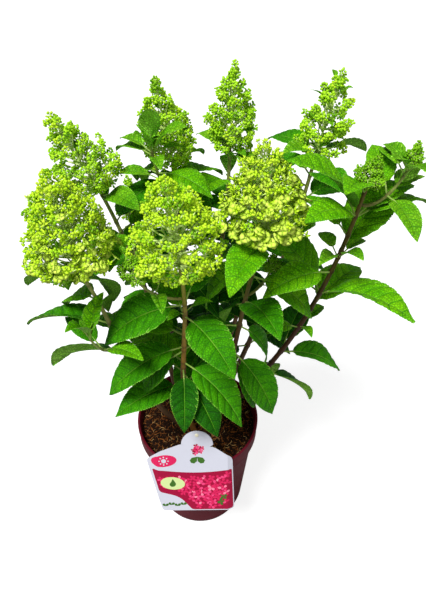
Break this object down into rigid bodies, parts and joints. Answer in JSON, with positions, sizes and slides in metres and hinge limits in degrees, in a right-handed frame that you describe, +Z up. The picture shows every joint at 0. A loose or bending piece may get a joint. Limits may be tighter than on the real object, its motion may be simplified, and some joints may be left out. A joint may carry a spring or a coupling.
{
  "type": "potted panicle hydrangea",
  "caption": "Flowering shrub in a filled nursery pot: tapering canes, toothed leaves in opposite pairs, upright cones of lime buds, and a plain care label on the rim.",
  "frame": {"origin": "centre of the pot's flat underside", "axes": "+Z up through the middle of the pot, -Y to the side that carries the care label, +X to the right seen from that side"},
  "size_m": [0.4891, 0.3634, 0.7248],
  "materials": {
    "pot": "dark red moulded plastic, slightly scuffed",
    "mix": "damp fibrous peat and bark mix",
    "label": null,
    "stake": "cream moulded plastic",
    "bark": "smooth young bark, tan to dark purple-brown",
    "foliage": "satin leaf surface with sunken veins",
    "buds": "small lime buds and florets on pale stalks"
  },
  "bodies": {
    "root": {"cane_back": "bark", "cane_front": "bark", "cane_front_right": "bark", "cane_left": "bark", "cane_left_back": "bark", "cane_low_left": "bark", "cane_low_right": "bark", "cane_middle": "bark", "cane_right": "bark", "cane_right_back": "bark", "label": "label", "label_stake": "stake", "leaves_back": "foliage", "leaves_back_side": "foliage", "leaves_front": "foliage", "leaves_front_right": "foliage", "leaves_front_right_side": "foliage", "leaves_front_side": "foliage", "leaves_left": "foliage", "leaves_left_back": "foliage", "leaves_left_back_side": "foliage", "leaves_left_side": "foliage", "leaves_low_left": "foliage", "leaves_low_right": "foliage", "leaves_middle": "foliage", "leaves_middle_side": "foliage", "leaves_right": "foliage", "leaves_right_back": "foliage", "leaves_right_side": "foliage", "panicle_back": "buds", "panicle_back_side": "buds", "panicle_front": "buds", "panicle_front_right": "buds", "panicle_front_right_side": "buds", "panicle_front_side": "buds", "panicle_left": "buds", "panicle_left_back": "buds", "panicle_low_left": "buds", "panicle_low_right": "buds", "panicle_middle": "buds", "panicle_right": "buds", "panicle_right_back": "buds", "panicle_right_side": "buds", "pot": "pot", "potting_mix": "mix"}
  },
  "joints": []
}
